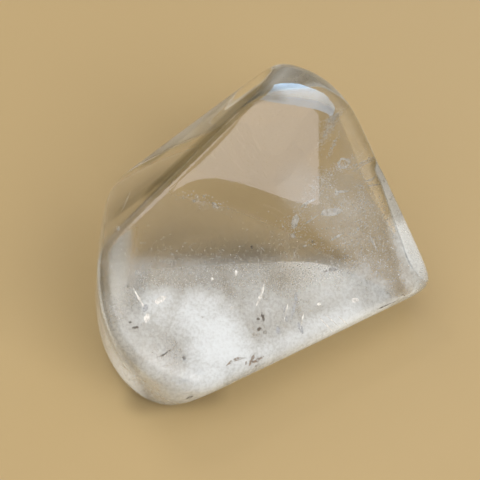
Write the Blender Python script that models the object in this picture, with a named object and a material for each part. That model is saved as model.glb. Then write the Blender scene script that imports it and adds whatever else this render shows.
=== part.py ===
"""Clear quartz: one tumbled, polished piece about 30 mm wide, lying on its flattest side.

The stone is a single crystal fragment that tumbling has worn smooth. Its form is the space
inside a set of facet planes. The planes meet in softened ridges, and the lower left end,
where the wear is heaviest, is one rounded lobe. Azimuth 0 faces -Y and 90 faces +X.
"""
from typing import NamedTuple

import bmesh
import bpy
import numpy as np

MM = 0.001                # lengths below are in millimetres, the mesh is in metres

# How tightly two planes meet: the ridge's radius shrinks as this grows
CREST_SHARPNESS = 4.0     # per mm, along the crest between the front face and the shoulder
RIDGE_SHARPNESS = 1.7     # per mm, along the other polished ridges
LOBE_SHARPNESS = 0.6      # per mm, within the worn end

REST_HEIGHT = 4.72        # mm from the core down to the flat that the stone rests on
LONGEST_RADIUS = 40.0     # mm, further out than any point of the stone
BISECTIONS = 36           # halvings of that radius when the surface is looked for
FINE_LEVEL = 6            # icosphere subdivisions of the fine surface, 20480 triangles
KEPT_SHARE = 0.30         # of those triangles, most of them left along the ridges and the lobe


class Facet(NamedTuple):
    """One plane of the form: where it faces, in degrees, and its distance from the core, in mm."""

    azimuth: float
    elevation: float
    distance: float


class Dent(NamedTuple):
    """A shallow hollow left by a knock: its direction in degrees, its radius and depth in mm."""

    azimuth: float
    elevation: float
    radius: float
    depth: float


FRONT_FACE = Facet(35, 47, 8.5)            # the broad face that slopes towards the viewer
LEFT_SHOULDER = Facet(237.6, 41.1, 11.1)   # the long bevel behind the upper left crest
TOP_CAP = Facet(134, 67, 14.4)             # the small blunt end above
BACK_WALL = Facet(172, -20, 6.8)
BACK_RIGHT = Facet(150, -28, 5.6)          # the undercut below the right edge
RIGHT_WALL = Facet(118, 8, 11.5)           # the narrow side between that and the front face
RIGHT_END = Facet(90, -1, 16.4)
FRONT_UNDER = Facet(33, -38, 10.9)         # the long undercut below the front face
BACK_UNDER = Facet(185, -70, 5.2)
BASE = Facet(0, -90, 5.0)

LEFT_SIDE = Facet(265.5, 6, 14.4)
LOBE_LEFT = Facet(295, -14, 18.3)
LOBE_CORNER = Facet(322, -16, 22.2)
LOBE_FRONT = Facet(352, -18, 19.4)

CREST = (FRONT_FACE, LEFT_SHOULDER)
POLISHED = (TOP_CAP, BACK_WALL, BACK_RIGHT, RIGHT_WALL, RIGHT_END, FRONT_UNDER, BACK_UNDER,
            BASE)
WORN = (LEFT_SIDE, LOBE_LEFT, LOBE_CORNER, LOBE_FRONT)

RIGHT_EDGE_NICK = Dent(100, 35, 1.0, 0.20)
END_NICK = Dent(62, -4, 1.0, 0.18)
LOBE_CHIP = Dent(342, -3, 1.1, 0.18)
LOBE_PIT = Dent(325, 15, 0.9, 0.12)
BACK_HOLLOW = Dent(196, -12, 3.2, 0.25)
DENTS = (RIGHT_EDGE_NICK, END_NICK, LOBE_CHIP, LOBE_PIT, BACK_HOLLOW)

QUARTZ_COLOUR = (0.93, 0.91, 0.88, 1.0)
QUARTZ_ROUGHNESS = 0.04
QUARTZ_IOR = 1.544


def clear_scene():
    """Removes every object that the file opened with."""
    for item in list(bpy.data.objects):
        bpy.data.objects.remove(item)


def direction(azimuth, elevation):
    """The unit vector that faces the given way."""
    around, up = np.radians(azimuth), np.radians(elevation)
    return np.array([np.sin(around) * np.cos(up), -np.cos(around) * np.cos(up), np.sin(up)])


def planes(facets):
    """The facets' normals, one a row, and their distances."""
    normals = np.array([direction(f.azimuth, f.elevation) for f in facets])
    return normals, np.array([f.distance for f in facets])


def soft_maximum(values, sharpness):
    """The largest value of each row, rounded off where two are close."""
    largest = values.max(axis=1)
    rest = np.exp(sharpness * (values - largest[:, None])).sum(axis=1)
    return largest + np.log(rest) / sharpness


def surface_radii(rays):
    """How far along each ray the surface lies, found by halving an interval again and again."""
    crest, crest_distance = planes(CREST)
    polished, polished_distance = planes(POLISHED)
    worn, worn_distance = planes(WORN)
    to_crest, to_polished, to_worn = rays @ crest.T, rays @ polished.T, rays @ worn.T
    low, high = np.zeros(len(rays)), np.full(len(rays), LONGEST_RADIUS)
    for _ in range(BISECTIONS):
        middle = (low + high) / 2
        along = middle[:, None]
        ridge = soft_maximum(along * to_crest - crest_distance, CREST_SHARPNESS)
        lobe = soft_maximum(along * to_worn - worn_distance, LOBE_SHARPNESS)
        outside = np.column_stack([along * to_polished - polished_distance, ridge, lobe])
        depth = soft_maximum(outside, RIDGE_SHARPNESS)
        low = np.where(depth < 0, middle, low)
        high = np.where(depth < 0, high, middle)
    return (low + high) / 2


def dent_surface(rays, radii):
    """Presses the shallow dents into the radii."""
    points = rays * radii[:, None]
    for dent in DENTS:
        facing = direction(dent.azimuth, dent.elevation)[None, :]
        centre = facing * surface_radii(facing)[0]
        away = np.linalg.norm(points - centre, axis=1)
        radii = radii - dent.depth * np.exp(-((away / dent.radius) ** 2))
    return radii


def flatten_base(mesh):
    """Presses the lowest skin onto one plane at z = 0 and joins its faces into a single flat."""
    for vert in mesh.verts:
        vert.co.z = max(vert.co.z, 0.0)
    flat = [face for face in mesh.faces if all(vert.co.z == 0.0 for vert in face.verts)]
    bmesh.ops.dissolve_faces(mesh, faces=flat, use_verts=True)


def centre_sideways(mesh):
    """Moves the box's middle over the origin."""
    for axis in (0, 1):
        places = [vert.co[axis] for vert in mesh.verts]
        middle = (min(places) + max(places)) / 2
        for vert in mesh.verts:
            vert.co[axis] -= middle


def worn_surface():
    """The whole skin of the stone at full fineness, before its base is pressed flat."""
    mesh = bmesh.new()
    bmesh.ops.create_icosphere(mesh, subdivisions=FINE_LEVEL, radius=1.0)
    rays = np.array([vert.co[:] for vert in mesh.verts])
    rays /= np.linalg.norm(rays, axis=1)[:, None]
    points = rays * dent_surface(rays, surface_radii(rays))[:, None]
    points[:, 2] += REST_HEIGHT
    for vert, point in zip(mesh.verts, points):
        vert.co = point * MM
    data = bpy.data.meshes.new("worn_surface")
    mesh.to_mesh(data)
    mesh.free()
    return data


def thin_out(stone):
    """Leaves few triangles on the flat facets and many where the surface bends."""
    thinning = stone.modifiers.new("thinning", "DECIMATE")
    thinning.decimate_type = "COLLAPSE"
    thinning.ratio = KEPT_SHARE
    evaluated = stone.evaluated_get(bpy.context.evaluated_depsgraph_get())
    thinned = bpy.data.meshes.new_from_object(evaluated)
    stone.modifiers.remove(thinning)
    return thinned


def quartz_material():
    """Clear, colourless, polished quartz."""
    material = bpy.data.materials.new("clear_quartz")
    material.use_nodes = True
    shader = material.node_tree.nodes["Principled BSDF"]
    shader.inputs["Base Color"].default_value = QUARTZ_COLOUR
    shader.inputs["Metallic"].default_value = 0.0
    shader.inputs["Roughness"].default_value = QUARTZ_ROUGHNESS
    shader.inputs["IOR"].default_value = QUARTZ_IOR
    shader.inputs["Transmission Weight"].default_value = 1.0
    return material


def make_quartz():
    """The whole stone as one closed, smooth-shaded solid."""
    stone = bpy.data.objects.new("quartz", worn_surface())
    bpy.context.scene.collection.objects.link(stone)
    data = thin_out(stone)
    mesh = bmesh.new()
    mesh.from_mesh(data)
    flatten_base(mesh)
    centre_sideways(mesh)
    mesh.to_mesh(data)
    mesh.free()
    data.name = "quartz"
    data.shade_smooth()
    data.materials.append(quartz_material())
    stone.data = data
    return stone


clear_scene()
make_quartz()
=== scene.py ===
"""Clear quartz: the looks of one tumbled, polished stone on a plain pale floor.

The stone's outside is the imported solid's own form, cut finer. Inside it lie the things that
the crystal grew or cracked with: a milky cloud, wisps, bright flakes and specks. Azimuth 0
faces -Y and 90 faces +X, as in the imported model. A pixel is a place in a square picture of the
stone that the camera repeats, 480 to a side, counted from the upper left corner.
"""

import logging
import math
from dataclasses import dataclass, field
from typing import Any, Sequence

import bmesh
import bpy
import numpy as np
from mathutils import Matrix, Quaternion, Vector
from mathutils.bvhtree import BVHTree

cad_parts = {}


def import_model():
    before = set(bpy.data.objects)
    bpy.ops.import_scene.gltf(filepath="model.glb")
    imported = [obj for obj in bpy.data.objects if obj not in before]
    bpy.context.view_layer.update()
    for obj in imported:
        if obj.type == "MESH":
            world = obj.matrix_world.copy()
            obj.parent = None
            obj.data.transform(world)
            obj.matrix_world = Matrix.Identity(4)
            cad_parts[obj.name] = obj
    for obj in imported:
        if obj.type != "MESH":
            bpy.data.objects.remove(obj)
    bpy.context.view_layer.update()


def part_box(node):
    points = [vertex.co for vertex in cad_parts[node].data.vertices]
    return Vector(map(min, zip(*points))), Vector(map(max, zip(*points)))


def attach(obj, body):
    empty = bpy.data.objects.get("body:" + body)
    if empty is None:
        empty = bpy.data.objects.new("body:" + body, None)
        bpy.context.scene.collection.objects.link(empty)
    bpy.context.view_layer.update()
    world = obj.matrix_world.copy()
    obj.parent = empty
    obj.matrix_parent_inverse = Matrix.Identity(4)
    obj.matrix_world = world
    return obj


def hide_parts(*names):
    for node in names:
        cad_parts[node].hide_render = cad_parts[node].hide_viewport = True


MM = 0.001
BODY = "root"
NODE = "quartz"
QUARTZ_IOR = 1.544

log = logging.getLogger("quartz")

Pixel = tuple[float, float]
Colour = tuple[float, float, float]


class Value:
    """A number socket that takes part in an expression and adds the Math nodes it needs."""

    def __init__(self, graph: "Graph", socket: bpy.types.NodeSocket) -> None:
        """Keeps the graph and the output socket that the value comes from."""
        self.graph = graph
        self.socket = socket

    def _math(self, operation: str, *terms: Any) -> "Value":
        """Adds one Math node and returns its result."""
        node = self.graph.node("ShaderNodeMath", {"operation": operation}, dict(enumerate(terms)))
        return Value(self.graph, node.outputs[0])

    def __add__(self, other: Any) -> "Value":
        """self + other."""
        return self._math("ADD", self, other)

    def __radd__(self, other: Any) -> "Value":
        """other + self."""
        return self._math("ADD", other, self)

    def __sub__(self, other: Any) -> "Value":
        """self - other."""
        return self._math("SUBTRACT", self, other)

    def __rsub__(self, other: Any) -> "Value":
        """other - self."""
        return self._math("SUBTRACT", other, self)

    def __mul__(self, other: Any) -> "Value":
        """self * other."""
        return self._math("MULTIPLY", self, other)

    def __rmul__(self, other: Any) -> "Value":
        """other * self."""
        return self._math("MULTIPLY", other, self)

    def __pow__(self, other: Any) -> "Value":
        """self raised to other."""
        return self._math("POWER", self, other)

    def __rpow__(self, other: Any) -> "Value":
        """other raised to self."""
        return self._math("POWER", other, self)

    def __abs__(self) -> "Value":
        """self without its sign."""
        return self._math("ABSOLUTE", self)


class Graph:
    """A material's node tree, with one way to add a node and short names for common ones."""

    def __init__(self, name: str) -> None:
        """Makes an empty material.

        Args:
            name: The material's name.
        """
        self.material = bpy.data.materials.new(name)
        self.material.use_nodes = True
        self.tree = self.material.node_tree
        self.tree.nodes.clear()
        self.output = self.tree.nodes.new("ShaderNodeOutputMaterial")

    def node(self, kind: str, settings: dict[str, Any] | None = None,
             sockets: dict[str | int, Any] | None = None) -> bpy.types.Node:
        """Adds a node.

        Args:
            kind: The node's Blender type.
            settings: Properties that are set first; "stops" is a ramp's places and colours.
            sockets: Input names or numbers with a value, a Value or an output socket each.

        Returns:
            The new node.
        """
        made = self.tree.nodes.new(kind)
        for name, value in (settings or {}).items():
            if name == "stops":
                self._set_stops(made.color_ramp, value)
            else:
                setattr(made, name, value)
        for name, value in (sockets or {}).items():
            socket = self._input(made, name)
            if isinstance(value, Value):
                value = value.socket
            if isinstance(value, bpy.types.NodeSocket):
                self.tree.links.new(value, socket)
            else:
                socket.default_value = value
        return made

    @staticmethod
    def _input(node: bpy.types.Node, name: str | int) -> bpy.types.NodeSocket:
        """Finds an input that is in use.

        Args:
            node: The node.
            name: The input's name or number.

        Returns:
            The input socket.
        """
        if isinstance(name, int):
            return node.inputs[name]
        return next(socket for socket in node.inputs if socket.name == name and socket.enabled)

    @staticmethod
    def _set_stops(ramp: bpy.types.ColorRamp, stops: Sequence[tuple[float, Colour]]) -> None:
        """Gives a ramp its stops.

        Args:
            ramp: The ramp, which starts with two stops.
            stops: Each stop's place and colour, in order.
        """
        while len(ramp.elements) < len(stops):
            ramp.elements.new(1.0)
        for element, (place, colour) in zip(ramp.elements, stops):
            element.position = place
            element.color = (*colour, 1.0)

    def value(self, node: bpy.types.Node, output: str | int = 0) -> Value:
        """One of a node's outputs as a Value."""
        return Value(self, node.outputs[output])

    def place(self) -> bpy.types.NodeSocket:
        """The point being shaded, in the object's own metres."""
        return self.node("ShaderNodeTexCoord").outputs["Object"]

    def noise(self, scale: float, detail: float, roughness: float, distortion: float) -> Value:
        """Noise over the object's space, about 0.5 on average.

        Args:
            scale: How many of its features fit in a metre.
            detail: How many finer layers it has.
            roughness: How strong the finer layers are.
            distortion: How far its features are bent.

        Returns:
            The noise.
        """
        made = self.node("ShaderNodeTexNoise", None, {
            "Vector": self.place(), "Scale": scale, "Detail": detail,
            "Roughness": roughness, "Distortion": distortion})
        return self.value(made, "Fac")

    def span(self, value: Value, low: float, high: float,
             to_low: float = 0.0, to_high: float = 1.0) -> Value:
        """Maps one range smoothly onto another and holds the ends.

        Args:
            value: What is mapped.
            low: Where the first range starts.
            high: Where it ends.
            to_low: What low becomes.
            to_high: What high becomes.

        Returns:
            The mapped value.
        """
        made = self.node("ShaderNodeMapRange", {"interpolation_type": "SMOOTHSTEP"}, {
            "Value": value, "From Min": low, "From Max": high,
            "To Min": to_low, "To Max": to_high})
        return self.value(made, "Result")

    def measure(self, operation: str, first: Any, second: Any) -> Value:
        """The number that a Vector Math node gives, such as a distance or a dot product."""
        made = self.node("ShaderNodeVectorMath", {"operation": operation}, {0: first, 1: second})
        return self.value(made, "Value")

    def along(self, start: Vector, end: Vector, reach: float, soft: float) -> Value:
        """How near the point being shaded is to the line between two points.

        Args:
            start: Where the line starts, in metres.
            end: Where it ends.
            reach: How far from the line the result stays 1.
            soft: Over how much more it falls to 0.

        Returns:
            A value from 0 to 1.
        """
        line = end - start
        offset = self.node("ShaderNodeVectorMath", {"operation": "SUBTRACT"},
                           {0: self.place(), 1: tuple(start)}).outputs[0]
        share = self.measure("DOT_PRODUCT", offset, tuple(line / line.length_squared))
        share = self.node("ShaderNodeClamp", None, {"Value": share}).outputs[0]
        scaled = self.node("ShaderNodeVectorMath", {"operation": "SCALE"},
                           {0: tuple(line), "Scale": share}).outputs[0]
        away = self.measure("DISTANCE", offset, scaled)
        return 1.0 - self.span(away, reach, reach + soft)

    def surface(self, shader: bpy.types.NodeSocket) -> None:
        """Joins a shader to the material's surface."""
        self.tree.links.new(shader, self.output.inputs["Surface"])

    def volume(self, shader: bpy.types.NodeSocket) -> None:
        """Joins a shader to the material's volume."""
        self.tree.links.new(shader, self.output.inputs["Volume"])


class SkyGraph(Graph):
    """A world's node tree."""

    def __init__(self, name: str) -> None:
        """Makes an empty world.

        Args:
            name: The world's name.
        """
        self.world = bpy.data.worlds.new(name)
        self.world.use_nodes = True
        self.tree = self.world.node_tree
        self.tree.nodes.clear()
        self.output = self.tree.nodes.new("ShaderNodeOutputWorld")


@dataclass(frozen=True)
class Mottle:
    """Noise that makes a strength uneven: from low to high, it gives least to most."""

    scale: float
    detail: float
    roughness: float
    distortion: float
    least: float
    most: float
    low: float = 0.3
    high: float = 0.7

    def strength(self, graph: Graph) -> Value:
        """The strength at each point, from least to most."""
        noise = graph.noise(self.scale, self.detail, self.roughness, self.distortion)
        return graph.span(noise, self.low, self.high, self.least, self.most)


@dataclass(frozen=True)
class Facet:
    """One plane of the stone: where it faces, in degrees, and its distance from the core, in mm."""

    azimuth: float
    elevation: float
    distance: float


@dataclass(frozen=True)
class Dent:
    """A shallow hollow: its direction from the core in degrees, its radius and depth in mm."""

    azimuth: float
    elevation: float
    radius: float
    depth: float


@dataclass(frozen=True)
class Shade:
    """A shaded strip of floor: its ends, its reach and its fade in mm, and its depth."""

    start: tuple[float, float]
    end: tuple[float, float]
    reach: float
    fade: float
    strength: float


@dataclass(frozen=True)
class PaleFloor:
    """A plain, matt, pale sand-coloured surface, shaded under the stone."""

    colour: Colour = (0.55, 0.41, 0.21)
    shaded: Colour = (0.07, 0.044, 0.012)
    shades: tuple[Shade, ...] = (
        Shade((-9.5, 4.6), (-4.2, 6.0), 0.5, 2.2, 0.35),
        Shade((-6.5, 3.2), (-2.0, 5.0), 0.8, 1.8, 0.45),
        Shade((3.0, 4.5), (4.5, 4.5), 0.3, 1.8, 0.30),
        Shade((-10.5, -11.6), (-5.0, -10.6), 0.2, 2.4, 0.35),
    )
    roughness: float = 0.7
    specular: float = 0.2

    def material(self) -> bpy.types.Material:
        """Makes the finish.

        Returns:
            The material.
        """
        graph = Graph("pale_floor")
        light = None
        for shade in self.shades:
            start, end = (Vector((*ends, 0.0)) * MM for ends in (shade.start, shade.end))
            strip = graph.along(start, end, shade.reach * MM, shade.fade * MM)
            lit = 1.0 - strip * shade.strength
            light = lit if light is None else light * lit
        mixed = graph.node("ShaderNodeMix", {"data_type": "RGBA"}, {
            "Factor": light, "A": (*self.shaded, 1.0), "B": (*self.colour, 1.0)})
        shader = graph.node("ShaderNodeBsdfPrincipled", None, {
            "Base Color": next(out for out in mixed.outputs if out.enabled),
            "Roughness": self.roughness, "Specular IOR Level": self.specular})
        graph.surface(shader.outputs[0])
        return graph.material


def direction(azimuth: float, elevation: float) -> np.ndarray:
    """The unit vector that faces a given way.

    Args:
        azimuth: The way round, in degrees from -Y towards +X.
        elevation: The way up, in degrees.

    Returns:
        The vector.
    """
    around, up = math.radians(azimuth), math.radians(elevation)
    return np.array([math.sin(around) * math.cos(up), -math.cos(around) * math.cos(up),
                     math.sin(up)])


def soft_maximum(values: np.ndarray, sharpness: float) -> np.ndarray:
    """The largest value of each row, rounded off where two are close.

    Args:
        values: The values.
        sharpness: How little is rounded off, in 1 / mm.

    Returns:
        One value a row.
    """
    largest = values.max(axis=1)
    rest = np.exp(sharpness * (values - largest[:, None])).sum(axis=1)
    return largest + np.log(rest) / sharpness


def new_object(name: str, mesh: bmesh.types.BMesh, material: bpy.types.Material | None,
               smooth: bool = True) -> bpy.types.Object:
    """Turns a mesh into an object in the scene.

    Args:
        name: The object's name.
        mesh: Its shape in metres, which is freed.
        material: Its finish, or none for now.
        smooth: Whether its faces are shaded smooth.

    Returns:
        The object.
    """
    data = bpy.data.meshes.new(name)
    mesh.to_mesh(data)
    mesh.free()
    if smooth:
        data.shade_smooth()
    if material is not None:
        data.materials.append(material)
    made = bpy.data.objects.new(name, data)
    bpy.context.scene.collection.objects.link(made)
    return made


@dataclass
class StoneForm:
    """The stone's outside: the solid's facet planes again, cut finer. Lengths are in mm."""

    crest_sharpness: float = 4.0
    ridge_sharpness: float = 1.7
    lobe_sharpness: float = 0.6
    rest_height: float = 4.72
    longest_radius: float = 40.0
    halvings: int = 36
    level: int = 7

    front_face: Facet = Facet(35, 47, 8.5)
    left_shoulder: Facet = Facet(237.6, 41.1, 11.1)
    top_cap: Facet = Facet(134, 67, 14.4)
    back_wall: Facet = Facet(172, -20, 6.8)
    back_right: Facet = Facet(150, -28, 5.6)
    right_wall: Facet = Facet(118, 8, 11.5)
    right_end: Facet = Facet(90, -1, 16.4)
    front_under: Facet = Facet(33, -38, 10.9)
    back_under: Facet = Facet(185, -70, 5.2)
    base: Facet = Facet(0, -90, 5.0)

    left_side: Facet = Facet(265.5, 6, 14.4)
    lobe_left: Facet = Facet(295, -14, 18.3)
    lobe_corner: Facet = Facet(322, -16, 22.2)
    lobe_front: Facet = Facet(352, -18, 19.4)

    right_edge_nick: Dent = Dent(100, 35, 1.0, 0.20)
    end_nick: Dent = Dent(62, -4, 1.0, 0.18)
    lobe_chip: Dent = Dent(342, -3, 1.1, 0.18)
    lobe_pit: Dent = Dent(325, 15, 0.9, 0.12)
    back_hollow: Dent = Dent(196, -12, 3.2, 0.25)

    def crest(self) -> tuple[Facet, ...]:
        """The two planes that meet in the sharp crest."""
        return (self.front_face, self.left_shoulder)

    def polished(self) -> tuple[Facet, ...]:
        """The planes that meet in softer ridges."""
        return (self.top_cap, self.back_wall, self.back_right, self.right_wall, self.right_end,
                self.front_under, self.back_under, self.base)

    def worn(self) -> tuple[Facet, ...]:
        """The planes that blend into the worn lobe."""
        return (self.left_side, self.lobe_left, self.lobe_corner, self.lobe_front)

    def dents(self) -> tuple[Dent, ...]:
        """The shallow hollows."""
        return (self.right_edge_nick, self.end_nick, self.lobe_chip, self.lobe_pit,
                self.back_hollow)

    def radii(self, rays: np.ndarray) -> np.ndarray:
        """How far along each ray the undented surface lies.

        Args:
            rays: Unit vectors from the core, one a row.

        Returns:
            One length a ray, in mm.
        """
        sets = []
        for facets in (self.crest(), self.polished(), self.worn()):
            normals = np.array([direction(f.azimuth, f.elevation) for f in facets])
            sets.append((rays @ normals.T, np.array([f.distance for f in facets])))
        (crest, crest_distance), (polished, polished_distance), (worn, worn_distance) = sets
        low, high = np.zeros(len(rays)), np.full(len(rays), self.longest_radius)
        for _ in range(self.halvings):
            middle = (low + high) / 2
            along = middle[:, None]
            ridge = soft_maximum(along * crest - crest_distance, self.crest_sharpness)
            lobe = soft_maximum(along * worn - worn_distance, self.lobe_sharpness)
            outside = np.column_stack([along * polished - polished_distance, ridge, lobe])
            depth = soft_maximum(outside, self.ridge_sharpness)
            low = np.where(depth < 0, middle, low)
            high = np.where(depth < 0, high, middle)
        return (low + high) / 2

    def points(self, rays: np.ndarray) -> np.ndarray:
        """The dented surface along each ray.

        Args:
            rays: Unit vectors from the core, one a row.

        Returns:
            One point a ray, in mm above the resting plane.
        """
        radii = self.radii(rays)
        skin = rays * radii[:, None]
        for dent in self.dents():
            facing = direction(dent.azimuth, dent.elevation)[None, :]
            centre = facing * self.radii(facing)[0]
            away = np.linalg.norm(skin - centre, axis=1)
            radii = radii - dent.depth * np.exp(-((away / dent.radius) ** 2))
        found = rays * radii[:, None]
        found[:, 2] = np.maximum(found[:, 2] + self.rest_height, 0.0)
        return found

    def build(self) -> tuple[bpy.types.Object, Vector]:
        """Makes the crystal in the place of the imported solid.

        Returns:
            The piece, and the sideways shift that took the core to its place, in metres.
        """
        mesh = bmesh.new()
        bmesh.ops.create_icosphere(mesh, subdivisions=self.level, radius=1.0)
        rays = np.array([vert.co[:] for vert in mesh.verts])
        rays /= np.linalg.norm(rays, axis=1)[:, None]
        places = self.points(rays) * MM
        low, high = (np.array(corner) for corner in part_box(NODE))
        shift = (low + high - places.min(axis=0) - places.max(axis=0)) / 2
        shift[2] = 0.0
        for vert, place in zip(mesh.verts, places + shift):
            vert.co = place
        piece = new_object("quartz_crystal", mesh, None)
        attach(piece, BODY)
        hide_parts(NODE)
        return piece, Vector(shift)


@dataclass
class Viewpoint:
    """Where the photograph was taken from, and what its pixels look at. Lengths are in mm."""

    elevation: float = 46.0
    distance: float = 400.0
    pixel: float = 0.09
    frame: int = 480
    core_pixel: Pixel = (260.0, 235.0)
    sensor: float = 36.0
    clip: float = 10.0
    core: Vector = Vector((0.0, 0.0, 0.0))
    proud: float = 0.01
    search: float = 0.5
    search_steps: int = 101
    skin: BVHTree | None = None

    def axes(self) -> tuple[Vector, Vector, Vector]:
        """The picture's own directions.

        Returns:
            Its right, its up and the way back to the camera.
        """
        up = math.radians(self.elevation)
        return (Vector((1.0, 0.0, 0.0)), Vector((0.0, math.sin(up), math.cos(up))),
                Vector((0.0, -math.cos(up), math.sin(up))))

    def eye(self) -> Vector:
        """Where the camera stands.

        Returns:
            The place, in metres.
        """
        right, above, back = self.axes()
        across = (self.frame / 2 - self.core_pixel[0]) * self.pixel
        upward = (self.core_pixel[1] - self.frame / 2) * self.pixel
        return self.core + (right * across + above * upward + back * self.distance) * MM

    def ray(self, pixel: Pixel) -> Vector:
        """The way that a pixel of the picture looks.

        Args:
            pixel: The pixel, from the upper left corner.

        Returns:
            A unit vector.
        """
        right, above, back = self.axes()
        across = (pixel[0] - self.frame / 2) * self.pixel
        upward = (self.frame / 2 - pixel[1]) * self.pixel
        return (right * across + above * upward - back * self.distance).normalized()

    def look_at(self, crystal: bpy.types.Object) -> None:
        """Notes the surface that the pixels are traced to.

        Args:
            crystal: The stone.
        """
        data = crystal.data
        self.skin = BVHTree.FromPolygons([vert.co[:] for vert in data.vertices],
                                         [tuple(face.vertices) for face in data.polygons])

    def front(self, pixel: Pixel) -> tuple[Vector, Vector] | None:
        """Where a pixel meets the stone, and the way that the surface faces there."""
        point, normal, _, _ = self.skin.ray_cast(self.eye(), self.ray(pixel))
        return None if point is None else (point, normal)

    def edge(self, pixel: Pixel) -> Vector:
        """Where a pixel meets the stone, or the nearest such place towards its middle.

        Args:
            pixel: A pixel on or just off the stone.

        Returns:
            The point.
        """
        for share in np.linspace(0.0, self.search, self.search_steps):
            near = tuple(p + (c - p) * share for p, c in zip(pixel, self.core_pixel))
            hit = self.front(near)
            if hit is not None:
                return hit[0]
        raise ValueError(f"pixel {pixel} is far from the stone")

    def reflected(self, pixel: Pixel, away: float) -> Vector | None:
        """What a pixel sees mirrored in the stone.

        Args:
            pixel: The pixel.
            away: How far from the stone, in metres.

        Returns:
            The point, or None where the pixel misses the stone.
        """
        hit = self.front(pixel)
        if hit is None:
            return None
        return hit[0] + self.ray(pixel).reflect(hit[1]) * away

    def mirrored(self, pixel: Pixel, facet: Facet, away: float) -> Vector:
        """What a pixel would see mirrored in the whole plane of a facet.

        Args:
            pixel: The pixel, which may lie outside the picture.
            facet: The facet.
            away: How far from its plane, in metres.

        Returns:
            The point.
        """
        normal, way = Vector(direction(facet.azimuth, facet.elevation)), self.ray(pixel)
        centre = self.core + normal * (facet.distance * MM)
        hit = self.eye() + way * ((centre - self.eye()).dot(normal) / way.dot(normal))
        return hit + way.reflect(normal) * away

    def inside(self, pixel: Pixel, share: float) -> Vector | None:
        """A point in the stone on the bent ray of a pixel.

        Args:
            pixel: The pixel.
            share: The share of the way through, where 0 stands a hair proud of the surface.

        Returns:
            The point, or None where the pixel misses the stone.
        """
        hit = self.front(pixel)
        if hit is None:
            return None
        if share <= 0.0:
            return hit[0] + hit[1] * (self.proud * MM)
        way, normal = self.ray(pixel), hit[1]
        bend, facing = 1.0 / QUARTZ_IOR, -way.dot(normal)
        root = math.sqrt(1.0 - bend * bend * (1.0 - facing * facing))
        inward = (way * bend + normal * (bend * facing - root)).normalized()
        start = hit[0] + inward * (self.proud * MM)
        _, _, _, length = self.skin.ray_cast(start, inward)
        return None if length is None else start + inward * (length * share)

    def build(self) -> None:
        """Makes the camera and sets it as the scene's."""
        data = bpy.data.cameras.new("camera")
        data.sensor_width = self.sensor
        data.lens = self.sensor * self.distance / (self.frame * self.pixel)
        data.clip_start = self.clip * MM
        camera = bpy.data.objects.new("camera", data)
        bpy.context.scene.collection.objects.link(camera)
        camera.location = self.eye()
        camera.rotation_euler = (-self.axes()[2]).to_track_quat("-Z", "Y").to_euler()
        bpy.context.scene.camera = camera


@dataclass(frozen=True)
class Haze:
    """A soft streak under the polish: its two ends in the picture, its reach and fade in mm."""

    start: Pixel
    end: Pixel
    reach: float
    fade: float
    strength: float


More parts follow.
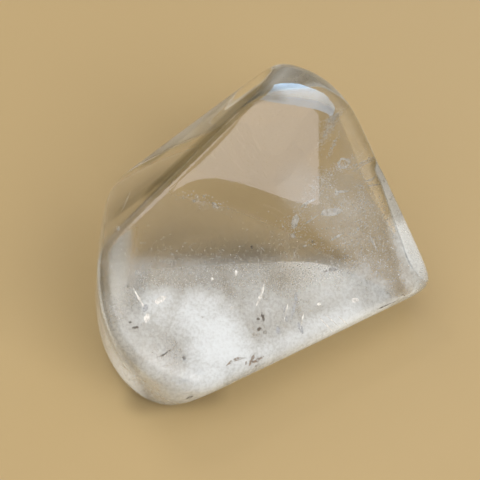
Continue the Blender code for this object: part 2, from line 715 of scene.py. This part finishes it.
@dataclass(frozen=True)
class PolishedQuartz:
    """Polished, tumbled clear quartz: milky in fine faults, with painted shade and dark patches."""

    polish: float = 0.015
    absorbed: Colour = (0.94, 0.92, 0.84)
    density: float = 30.0
    milk: Colour = (0.85, 0.92, 0.99)
    milk_roughness: float = 0.30
    milk_most: float = 0.85
    milk_cloth: Mottle = Mottle(450.0, 4.0, 0.6, 0.6, 0.72, 1.25)
    milk_grain: Mottle = Mottle(3500.0, 4.0, 0.65, 0.0, 0.68, 1.32)
    worn_base: float = 0.30
    worn_height: tuple[float, float] = (2.0, 4.0)
    worn_level: tuple[float, float] = (0.80, 0.92)
    worn_spots: tuple[Haze, ...] = (
        Haze((112, 235), (116, 285), 1.2, 1.5, 0.25),
        Haze((135, 335), (165, 365), 1.0, 2.0, 0.20),
    )
    hazes: tuple[Haze, ...] = (
        Haze((168, 308), (205, 320), 0.4, 2.8, 0.50),
        Haze((205, 320), (222, 350), 0.6, 3.2, 0.95),
        Haze((222, 350), (200, 392), 0.5, 3.2, 0.95),
        Haze((150, 345), (185, 380), 1.8, 4.2, 0.45),
        Haze((118, 310), (140, 370), 0.8, 2.6, 0.18),
        Haze((250, 362), (350, 322), 0.4, 1.9, 0.95),
        Haze((350, 322), (412, 298), 0.2, 1.2, 0.55),
        Haze((404, 226), (416, 275), 0.8, 1.3, 0.52),
        Haze((235, 335), (370, 295), 1.0, 3.2, 0.45),
        Haze((150, 303), (165, 297), 0.2, 0.9, 0.30),
        Haze((140, 284), (250, 292), 0.8, 2.4, 0.24),
        Haze((250, 288), (340, 283), 0.6, 2.5, 0.09),
        Haze((140, 268), (330, 266), 0.2, 1.2, 0.08),
        Haze((300, 190), (345, 225), 0.6, 2.5, 0.12),
        Haze((330, 95), (365, 160), 0.5, 2.0, 0.08),
        Haze((350, 195), (385, 280), 1.0, 3.5, 0.13),
        Haze((98, 235), (102, 330), 0.4, 2.0, 0.08),
    )

    # Dark matt layer: painted shade on the shoulder, and darker patches elsewhere.
    painted_shade_and_patch_colour: Colour = (0.15, 0.115, 0.05)
    dark_layer_roughness: float = 0.5
    crest_turn: tuple[float, float] = (0.955, 0.99)
    # Painted shade: the dark band on the left shoulder, beside the crest.
    painted_shoulder_shade: tuple[Haze, ...] = (
        Haze((252, 100), (170, 176), 2.2, 1.6, 0.42),
        Haze((212, 138), (176, 170), 1.2, 1.4, 0.22),
        Haze((150, 188), (126, 206), 0.8, 1.4, 0.22),
        Haze((214, 108), (160, 152), 1.4, 1.5, 0.26),
    )
    # Darker patches of the same dark layer.
    darkened: tuple[Haze, ...] = (
        Haze((379, 168), (396, 211), 0.6, 1.0, 0.42),
        Haze((106, 300), (120, 350), 1.2, 2.0, 0.22),
        Haze((340, 105), (372, 170), 1.0, 1.6, 0.16),
        Haze((300, 68), (332, 100), 0.6, 1.4, 0.10),
    )

    @staticmethod
    def spread(graph: Graph, view: Viewpoint, streaks: tuple[Haze, ...]) -> Value:
        """Adds up the strengths of all the streaks that reach a point.

        Args:
            graph: The material's nodes.
            view: The viewpoint that places the streaks.
            streaks: The streaks.

        Returns:
            The sum.
        """
        total = None
        for haze in streaks:
            start, end = view.edge(haze.start), view.edge(haze.end)
            part = graph.along(start, end, haze.reach * MM, haze.fade * MM) * haze.strength
            total = part if total is None else total + part
        return total

    def milkiness(self, graph: Graph, view: Viewpoint) -> Value:
        """How milky each point is: more streaks make it whiter, but less and less so.

        Args:
            graph: The material's nodes.
            view: The viewpoint that places the streaks.

        Returns:
            A value from 0 to 1.
        """
        total = self.spread(graph, view, self.hazes)
        coarse = self.milk_cloth.strength(graph)
        fine = self.milk_grain.strength(graph)
        return (1.0 - math.exp(-1.0) ** (total * coarse * fine)) * self.milk_most

    def wear(self, graph: Graph, view: Viewpoint, normal: bpy.types.NodeSocket) -> Value:
        """How rough each point is: polished, but worn on the resting face and in a few spots.

        Args:
            graph: The material's nodes.
            view: The viewpoint that places the spots.
            normal: The way that the surface faces.

        Returns:
            The roughness.
        """
        slope = graph.node("ShaderNodeSeparateXYZ", None, {0: normal})
        level = graph.span(abs(graph.value(slope, "Z")), *self.worn_level)
        place = graph.node("ShaderNodeSeparateXYZ", None, {0: graph.place()})
        low, high = (height * MM for height in self.worn_height)
        base = level * (1.0 - graph.span(graph.value(place, "Z"), low, high))
        worn = base * (self.worn_base - self.polish) + self.polish
        return worn + self.spread(graph, view, self.worn_spots)

    def painted_shade_and_darkening(self, graph: Graph, view: Viewpoint, normal: bpy.types.NodeSocket) -> Value:
        """How dark each point is: painted shade on the shoulder up to the crest, and dark patches.

        Args:
            graph: The material's nodes.
            view: The viewpoint that places the streaks.
            normal: The way that the surface faces.

        Returns:
            A value from 0 to 1.
        """
        front = direction(StoneForm.front_face.azimuth, StoneForm.front_face.elevation)
        toward = abs(graph.measure("DOT_PRODUCT", normal, tuple(front)))
        beside = 1.0 - graph.span(toward, *self.crest_turn)
        return (self.spread(graph, view, self.painted_shoulder_shade) * beside
                + self.spread(graph, view, self.darkened))

    def material(self, view: Viewpoint) -> bpy.types.Material:
        """Makes the finish.

        Args:
            view: The viewpoint that places the streaks.

        Returns:
            The material.
        """
        graph = Graph("polished_quartz")
        normal = graph.node("ShaderNodeTexCoord").outputs["Normal"]
        clear = graph.node("ShaderNodeBsdfPrincipled", None, {
            "Base Color": (1.0, 1.0, 1.0, 1.0), "IOR": QUARTZ_IOR,
            "Transmission Weight": 1.0, "Roughness": self.wear(graph, view, normal)})
        milky = graph.node("ShaderNodeBsdfPrincipled", None, {
            "Base Color": (*self.milk, 1.0), "IOR": QUARTZ_IOR,
            "Roughness": self.milk_roughness})
        mixed = graph.node("ShaderNodeMixShader", None, {
            0: self.milkiness(graph, view), 1: clear.outputs[0], 2: milky.outputs[0]})
        # Dark matt layer mixed in: painted shade on the shoulder, and darker patches elsewhere.
        darkened = graph.node("ShaderNodeBsdfPrincipled", None, {
            "Base Color": (*self.painted_shade_and_patch_colour, 1.0), "Specular IOR Level": 0.0,
            "Roughness": self.dark_layer_roughness})
        mixed = graph.node("ShaderNodeMixShader", None, {
            0: self.painted_shade_and_darkening(graph, view, normal), 1: mixed.outputs[0], 2: darkened.outputs[0]})
        inside = graph.node("ShaderNodeVolumeAbsorption", None, {
            "Color": (*self.absorbed, 1.0), "Density": self.density})
        graph.surface(mixed.outputs[0])
        graph.volume(inside.outputs[0])
        return graph.material


@dataclass(frozen=True)
class Lamp:
    """A soft rectangular lamp: its place and sizes in metres, its power in watts."""

    name: str
    place: tuple[float, float, float]
    aim: tuple[float, float, float]
    size: tuple[float, float]
    power: float
    colour: Colour

    def build(self) -> None:
        """Hangs the lamp and turns it to what it lights."""
        data = bpy.data.lights.new(self.name, "AREA")
        data.shape = "RECTANGLE"
        data.size, data.size_y = self.size
        data.energy = self.power
        data.color = self.colour
        lamp = bpy.data.objects.new(self.name, data)
        bpy.context.scene.collection.objects.link(lamp)
        lamp.visible_transmission = False
        lamp.location = self.place
        way = Vector(self.aim) - Vector(self.place)
        lamp.rotation_euler = way.to_track_quat("-Z", "Y").to_euler()


@dataclass(frozen=True)
class WhiteGrain:
    """The tiny, dull white crystals and bubbles that make clear quartz milky."""

    colour: Colour = (0.95, 0.95, 0.95)
    roughness: float = 0.5

    def material(self, name: str) -> bpy.types.Material:
        """Makes the finish under the given name.

        Args:
            name: The material's name.

        Returns:
            The material.
        """
        graph = Graph(name)
        shader = graph.node("ShaderNodeBsdfPrincipled", None, {
            "Base Color": (*self.colour, 1.0), "Roughness": self.roughness})
        graph.surface(shader.outputs[0])
        return graph.material


@dataclass(frozen=True)
class Puff:
    """One soft patch of a cloud, as the picture shows it: middle, spreads, tilt and weight."""

    middle: Pixel
    spread: Pixel
    tilt: float
    weight: float

    def draw(self, chance: np.random.Generator) -> Pixel:
        """Picks one pixel of the patch.

        Args:
            chance: The source of the random numbers.

        Returns:
            The pixel.
        """
        along, across = chance.normal(size=2) * self.spread
        turn = math.radians(self.tilt)
        return (self.middle[0] + along * math.cos(turn) - across * math.sin(turn),
                self.middle[1] + along * math.sin(turn) + across * math.cos(turn))


@dataclass
class GrainCloud:
    """Thousands of grains inside the stone, gathered in soft patches. Sizes are in mm."""

    name: str
    puffs: tuple[Puff, ...]
    count: int
    grain: tuple[float, float]
    depth: tuple[float, float]
    seed: int
    finish: WhiteGrain = WhiteGrain()
    slimness: tuple[float, float] = (0.3, 0.5)

    def places(self, view: Viewpoint, chance: np.random.Generator) -> list[Vector]:
        """Where the grains lie.

        Args:
            view: The viewpoint, whose bent rays carry the patches into the stone.
            chance: The source of the random numbers.

        Returns:
            One point a grain.
        """
        weights = np.array([puff.weight for puff in self.puffs])
        chosen = chance.choice(len(self.puffs), size=self.count, p=weights / weights.sum())
        found = []
        for which in chosen:
            share = chance.uniform(*self.depth)
            point = view.inside(self.puffs[which].draw(chance), share)
            if point is not None:
                found.append(point)
        return found

    def build(self, view: Viewpoint) -> bpy.types.Object:
        """Makes the cloud as one piece.

        Args:
            view: The viewpoint that the patches are seen from.

        Returns:
            The piece.
        """
        chance = np.random.default_rng(self.seed)
        mesh = bmesh.new()
        for place in self.places(view, chance):
            size = math.exp(chance.uniform(math.log(self.grain[0]), math.log(self.grain[1])))
            across = Vector(chance.normal(size=3)).normalized()
            along = across.orthogonal().normalized()
            along.rotate(Quaternion(across, chance.uniform(0, math.tau)))
            side = across * (size * MM * chance.uniform(*self.slimness))
            reach = along * (size * MM / 2)
            corners = (place - side, place - reach, place + side, place + reach)
            mesh.faces.new([mesh.verts.new(corner) for corner in corners])
        cloud = new_object(self.name, mesh, self.finish.material(self.name), smooth=False)
        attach(cloud, BODY)
        return cloud


@dataclass(frozen=True)
class CrackFinish:
    """A crack's inner skin, broken up where its two sides still touch."""

    colour: Colour
    roughness: float = 0.35
    least: float = 0.15
    most: float = 0.9
    grain: float = 2500.0
    grain_detail: float = 3.0
    grain_roughness: float = 0.6
    edges: tuple[float, float] = (0.35, 0.65)

    def material(self, name: str) -> bpy.types.Material:
        """Makes the finish under the given name.

        Args:
            name: The material's name.

        Returns:
            The material.
        """
        graph = Graph(name)
        skin = graph.node("ShaderNodeBsdfPrincipled", None, {
            "Base Color": (*self.colour, 1.0), "Roughness": self.roughness})
        gap = graph.node("ShaderNodeBsdfTransparent")
        there = Mottle(self.grain, self.grain_detail, self.grain_roughness, 0.0,
                       self.least, self.most, *self.edges)
        mixed = graph.node("ShaderNodeMixShader", None, {
            0: there.strength(graph), 1: gap.outputs[0], 2: skin.outputs[0]})
        graph.surface(mixed.outputs[0])
        return graph.material


@dataclass(frozen=True)
class Streak:
    """A long thin crack: its ends in the picture, its width and bow in pixels, its depth."""

    start: Pixel
    end: Pixel
    width: float
    share: float = 0.0
    bow: float = 0.0
    steps: int = 10
    tip: float = 0.03
    taper: float = 0.7
    ragged: tuple[float, float] = (0.6, 1.3)
    lean: float = 0.02

    def strip(self, view: Viewpoint, chance: np.random.Generator) -> list[list[Vector]]:
        """Finds the crack's sides.

        Args:
            view: The viewpoint that the crack is seen from.
            chance: The source of the random numbers.

        Returns:
            Pairs of points across the crack, from end to end.
        """
        start, end = np.array(self.start, float), np.array(self.end, float)
        across = np.array([start[1] - end[1], end[0] - start[0]])
        across /= np.linalg.norm(across)
        pairs = []
        for share in np.linspace(0.0, 1.0, self.steps + 1):
            swell = math.sin(math.pi * min(max(share, self.tip), 1.0 - self.tip))
            middle = start + (end - start) * share + across * (self.bow * swell)
            breadth = self.width * swell ** self.taper * chance.uniform(*self.ragged)
            half = across * (breadth / 2)
            lean = chance.uniform(-self.lean, self.lean) if self.share > 0.0 else 0.0
            pair = [view.inside(tuple(middle - half), self.share + lean * 0.5),
                    view.inside(tuple(middle + half), self.share - lean * 0.5)]
            if None not in pair:
                pairs.append(pair)
        return pairs

    def add(self, mesh: bmesh.types.BMesh, view: Viewpoint,
            chance: np.random.Generator) -> None:
        """Adds the crack to a mesh.

        Args:
            mesh: The mesh.
            view: The viewpoint that the crack is seen from.
            chance: The source of the random numbers.
        """
        pairs = [[mesh.verts.new(point) for point in pair] for pair in self.strip(view, chance)]
        for one, two in zip(pairs, pairs[1:]):
            mesh.faces.new((one[0], one[1], two[1], two[0]))


@dataclass(frozen=True)
class Fleck:
    """A small rounded flaw: its middle, length and breadth in pixels, its tilt and depth."""

    middle: Pixel
    size: Pixel
    tilt: float = 0.0
    share: float = 0.0
    hole: float = 0.0
    rim: int = 14
    least_hole: float = 0.02
    ragged: tuple[float, float] = (0.85, 1.15)
    lean: float = 0.01

    def add(self, mesh: bmesh.types.BMesh, view: Viewpoint,
            chance: np.random.Generator) -> None:
        """Adds the flaw to a mesh: a patch, or a ring where it has a hole.

        Args:
            mesh: The mesh.
            view: The viewpoint that the flaw is seen from.
            chance: The source of the random numbers.
        """
        turn = math.radians(self.tilt)
        rings = []
        for scale in (1.0, max(self.hole, self.least_hole)):
            ring = []
            for step in range(self.rim):
                angle = math.tau * step / self.rim
                reach = scale * chance.uniform(*self.ragged) / 2
                along = math.cos(angle) * self.size[0] * reach
                across = math.sin(angle) * self.size[1] * reach
                pixel = (self.middle[0] + along * math.cos(turn) - across * math.sin(turn),
                         self.middle[1] + along * math.sin(turn) + across * math.cos(turn))
                lean = self.lean * math.sin(angle) if self.share > 0.0 else 0.0
                point = view.inside(pixel, self.share + lean)
                if point is None:
                    return
                ring.append(mesh.verts.new(point))
            rings.append(ring)
        for step in range(self.rim):
            following = (step + 1) % self.rim
            mesh.faces.new((rings[0][step], rings[0][following],
                            rings[1][following], rings[1][step]))


@dataclass
class Flaws:
    """Cracks and flecks that share one finish and make one piece."""

    name: str
    finish: CrackFinish
    flaws: tuple[Streak | Fleck, ...]
    seed: int

    def build(self, view: Viewpoint) -> bpy.types.Object:
        """Makes the flaws as one piece.

        Args:
            view: The viewpoint that the flaws are seen from.

        Returns:
            The piece.
        """
        chance = np.random.default_rng(self.seed)
        mesh = bmesh.new()
        for flaw in self.flaws:
            flaw.add(mesh, view, chance)
        piece = new_object(self.name, mesh, self.finish.material(self.name))
        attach(piece, BODY)
        return piece


@dataclass
class Inclusions:
    """What lies inside the clear quartz: white grains, cracks with air in them, and stains."""

    milky_cloud: GrainCloud = field(default_factory=lambda: GrainCloud("milky_cloud", (
        Puff((196, 332), (36, 17), 38, 1.0), Puff((165, 372), (40, 22), 10, 0.6),
        Puff((122, 325), (16, 38), 0, 0.05), Puff((215, 382), (30, 10), -25, 0.5),
        Puff((190, 285), (50, 12), 8, 0.25)), 15000, (0.05, 0.16), (0.03, 0.8), 7))
    speckles: GrainCloud = field(default_factory=lambda: GrainCloud("speckles", (
        Puff((350, 245), (35, 12), -35, 1.0), Puff((335, 275), (25, 10), -20, 0.8),
        Puff((290, 280), (25, 14), 0, 1.0), Puff((380, 250), (15, 20), 0, 0.5),
        Puff((345, 302), (25, 5), -22, 0.6), Puff((290, 240), (25, 14), -20, 0.7),
        Puff((205, 262), (45, 9), 5, 1.0), Puff((205, 203), (14, 4), 18, 0.3),
        Puff((365, 205), (12, 10), 0, 0.4)), 6000, (0.05, 0.18), (0.01, 0.25), 8))
    wisps: GrainCloud = field(default_factory=lambda: GrainCloud("wisps", (
        Puff((334, 117), (7, 1.5), -35, 0.6), Puff((328, 130), (10, 2.5), -62, 1.0),
        Puff((333, 146), (6, 1.2), -65, 0.3), Puff((340, 167), (11, 2.5), -30, 0.8),
        Puff((364, 162), (12, 0.9), -22, 0.5), Puff((360, 190), (3, 12), 0, 0.5),
        Puff((326, 185), (5, 8), 20, 0.4), Puff((312, 192), (4, 12), 35, 0.7),
        Puff((295, 222), (5, 10), 25, 0.6), Puff((345, 205), (14, 4), 5, 0.4)),
        4500, (0.04, 0.12), (0.02, 0.10), 9))
    bright_cracks: Flaws = field(default_factory=lambda: Flaws(
        "bright_cracks", CrackFinish((0.93, 0.93, 0.92), least=0.35), (
            Streak((133, 288), (145, 309), 2.4), Streak((130, 192), (121, 213), 1.6, 0.04),
            Fleck((160, 300), (13, 6), -30), Fleck((147, 318), (6, 10), 20),
            Fleck((118, 228), (4, 4), 0, 0.02), Streak((300, 208), (316, 199), 3.4, 0.08, -1.0),
            Streak((305, 224), (318, 215), 2.2, 0.10), Fleck((331, 212), (22, 8), -8, 0.06),
            Fleck((344, 163), (13, 11), -20, 0.05, 0.62),
            Streak((335, 192), (350, 191), 2.6, 0.05), Fleck((337, 193), (5, 5), 0, 0.05),
            Streak((364, 181), (376, 176), 2.2, 0.04, 1.5),
            Streak((367, 186), (382, 184), 1.6, 0.05), Streak((331, 240), (342, 234), 3.0, 0.08),
            Fleck((295, 222), (7, 13), 15, 0.09), Fleck((293, 236), (5, 5), 0, 0.09),
            Fleck((305, 246), (5, 2.5), -10, 0.10), Fleck((358, 229), (3, 4), 0, 0.06),
            Fleck((194, 201), (4, 3), 0, 0.08), Fleck((215, 205), (9, 4), 40, 0.07),
            Fleck((204, 196), (3, 2.5), 0, 0.07), Streak((256, 306), (264, 284), 3.0, 0.0, 1.0),
            Streak((318, 316), (333, 332), 1.4), Streak((325, 314), (340, 328), 1.2),
            Streak((338, 316), (348, 325), 1.2), Streak((288, 303), (284, 322), 1.4),
            Streak((304, 312), (300, 330), 1.6), Fleck((355, 300), (8, 5)),
            Fleck((319, 304), (4, 3)), Streak((352, 172), (380, 158), 1.0, 0.03, -1.5),
            Streak((370, 236), (378, 252), 2.5, 0.08), Fleck((236, 273), (2.5, 6)),
            Fleck((212, 279), (3, 3)), Fleck((232, 308), (4, 3.5))), 11))
    grey_cracks: Flaws = field(default_factory=lambda: Flaws(
        "grey_cracks", CrackFinish((0.42, 0.45, 0.50), 0.3, 0.1), (
            Streak((284, 306), (287, 322), 4.0), Streak((296, 300), (291, 320), 3.0),
            Streak((298, 322), (303, 334), 4.0), Streak((296, 290), (296, 303), 3.5),
            Fleck((278, 330), (4, 8)), Fleck((145, 308), (5, 8), 20),
            Fleck((186, 378), (12, 8), -30, 0.04), Fleck((200, 372), (9, 6), 10, 0.04),
            Streak((182, 353), (188, 363), 3.0, 0.03, 1.0)), 12))
    dark_cracks: Flaws = field(default_factory=lambda: Flaws(
        "dark_cracks", CrackFinish((0.085, 0.065, 0.05), 0.5, 0.0), (
            Streak((156, 357), (168, 351), 1.8, 0.0, 1.5), Streak((166, 352), (176, 348), 1.0),
            Fleck((184, 358), (4, 4)), Fleck((130, 322), (3, 3)), Fleck((134, 328), (4, 3)),
            Fleck((137, 327), (3, 3)), Fleck((128, 285), (3, 5)),
            Streak((262, 312), (264, 322), 3.2), Fleck((259, 329), (5, 3.5), -20),
            Fleck((265, 332), (4, 4)), Fleck((258, 319), (3.5, 2.5)), Fleck((403, 296), (4, 4)),
            Fleck((377, 163), (2.5, 4)), Streak((186, 399), (193, 396), 2.4),
            Streak((378, 309), (396, 301), 1.6), Fleck((252, 247), (3, 3), 0, 0.1),
            Fleck((313, 242), (4, 3), 0, 0.1)), 13))
    stains: Flaws = field(default_factory=lambda: Flaws(
        "iron_stains", CrackFinish((0.30, 0.235, 0.19), 0.5, 0.0), (
            Streak((226, 366), (246, 358), 3.0, 0.0, -2.5), Streak((249, 366), (255, 353), 3.0),
            Streak((252, 363), (264, 356), 3.0), Streak((249, 361), (259, 362), 2.0),
            Fleck((246, 363), (2, 4)), Fleck((256, 366), (2, 2)), Fleck((202, 317), (3, 3)),
            Streak((340, 268), (322, 272), 4.0, 0.1)), 14))

    def build(self, view: Viewpoint) -> None:
        """Makes every inclusion.

        Args:
            view: The viewpoint that the inclusions are seen from.
        """
        for part in (self.milky_cloud, self.speckles, self.wisps, self.bright_cracks,
                     self.grey_cracks, self.dark_cracks, self.stains):
            made = part.build(view)
            log.info("%s: %d faces", made.name, len(made.data.polygons))


@dataclass(frozen=True)
class Pane:
    """A bright window pane, shaped by where its mirror image lies on the stone, in metres."""

    name: str
    outline: tuple[Pixel, ...]
    colour: Colour
    strength: float
    away: float = 0.12
    facet: Facet | None = None

    def build(self, view: Viewpoint) -> None:
        """Makes the pane out of the picture's sight.

        Args:
            view: The viewpoint, whose rays are followed to the stone and on to the pane.
        """
        if self.facet is None:
            corners = [view.reflected(pixel, self.away) for pixel in self.outline]
        else:
            corners = [view.mirrored(pixel, self.facet, self.away) for pixel in self.outline]
        mesh = bmesh.new()
        verts = [mesh.verts.new(corner) for corner in corners if corner is not None]
        face = mesh.faces.new(verts)
        bmesh.ops.triangulate(mesh, faces=[face])
        graph = Graph(self.name)
        shader = graph.node("ShaderNodeEmission", None, {
            "Color": (*self.colour, 1.0), "Strength": self.strength})
        graph.surface(shader.outputs[0])
        pane = new_object(self.name, mesh, graph.material, smooth=False)
        pane.visible_camera = pane.visible_diffuse = pane.visible_transmission = False


@dataclass
class Studio:
    """The floor, the soft daylight all round, the lamps and the window panes."""

    floor_width: float = 4.0
    floor_drop: float = 0.00003
    sky_low: Colour = (0.28, 0.22, 0.15)
    sky_middle: Colour = (0.42, 0.38, 0.31)
    sky_high: Colour = (1.04, 1.03, 1.02)
    sky_stops: tuple[float, float, float] = (0.0, 0.50, 0.85)
    sky_bright: tuple[float, float, float] = (-0.15, -0.45, 0.88)
    room_pane: Pane = Pane("room_pane", (
        (319, 205), (298, 203), (270, 193), (240, 183), (215, 178), (190, 179), (165, 172),
        (140, 158), (120, 125), (95, 95), (40, 100), (-60, 60), (-200, 60), (-200, -220),
        (20, -220), (45, 60), (97, 92), (152, 118), (168, 110), (175, 75), (150, 0),
        (90, -100), (80, -300), (60, -500), (0, -900), (700, -900), (480, -480),
        (386, -255), (368, -180), (325, 85), (319, 146)),
        (0.95, 0.93, 1.0), 3.6, facet=StoneForm.front_face)
    top_pane: Pane = Pane("top_pane", (
        (262, 97), (300, 108), (332, 116), (330, 100), (318, 90), (300, 85), (272, 86)),
        (0.42, 0.68, 1.0), 6.5, away=0.11)
    window: Lamp = Lamp("window", (0.54, -0.78, 0.74), (0.0, 0.0, 0.01), (0.72, 0.60), 6.0,
                        (1.0, 0.97, 0.94))
    back_window: Lamp = Lamp("back_window", (-0.60, 0.75, 0.85), (0.0, 0.0, 0.01), (0.5, 0.4),
                             2.5, (1.0, 0.98, 0.95))

    def build(self, view: Viewpoint) -> None:
        """Makes the floor, the sky, the lamps and the panes.

        Args:
            view: The viewpoint that the panes are mirrored to.
        """
        self._lay_floor()
        self._hang_sky()
        for lamp in (self.window, self.back_window):
            lamp.build()
        for pane in (self.room_pane, self.top_pane):
            pane.build(view)
        bpy.context.scene.view_settings.view_transform = "Standard"

    def _lay_floor(self) -> None:
        """Makes the floor, a hair below the resting face."""
        mesh = bmesh.new()
        bmesh.ops.create_grid(mesh, x_segments=1, y_segments=1, size=self.floor_width / 2)
        floor = new_object("floor", mesh, PaleFloor().material(), smooth=False)
        floor.location.z = -self.floor_drop

    def _hang_sky(self) -> None:
        """Makes the daylight: a dim warm room behind, brighter and cooler above the front."""
        graph = SkyGraph("studio")
        place = graph.node("ShaderNodeTexCoord").outputs["Generated"]
        toward = graph.measure("DOT_PRODUCT", place, self.sky_bright)
        colours = (self.sky_low, self.sky_middle, self.sky_high)
        ramp = graph.node("ShaderNodeValToRGB", {"stops": tuple(zip(self.sky_stops, colours))},
                          {"Fac": toward})
        light = graph.node("ShaderNodeBackground", None, {"Color": ramp.outputs["Color"]})
        graph.surface(light.outputs[0])
        bpy.context.scene.world = graph.world


def main() -> None:
    """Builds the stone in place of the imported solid, what lies in it, and the studio."""
    logging.basicConfig(level=logging.INFO, format="%(name)s: %(message)s")
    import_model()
    form = StoneForm()
    crystal, shift = form.build()
    log.info("%s: %d faces", crystal.name, len(crystal.data.polygons))
    view = Viewpoint(core=shift + Vector((0.0, 0.0, form.rest_height * MM)))
    view.look_at(crystal)
    view.build()
    crystal.data.materials.append(PolishedQuartz().material(view))
    Inclusions().build(view)
    Studio().build(view)


if __name__ == "__main__":
    main()
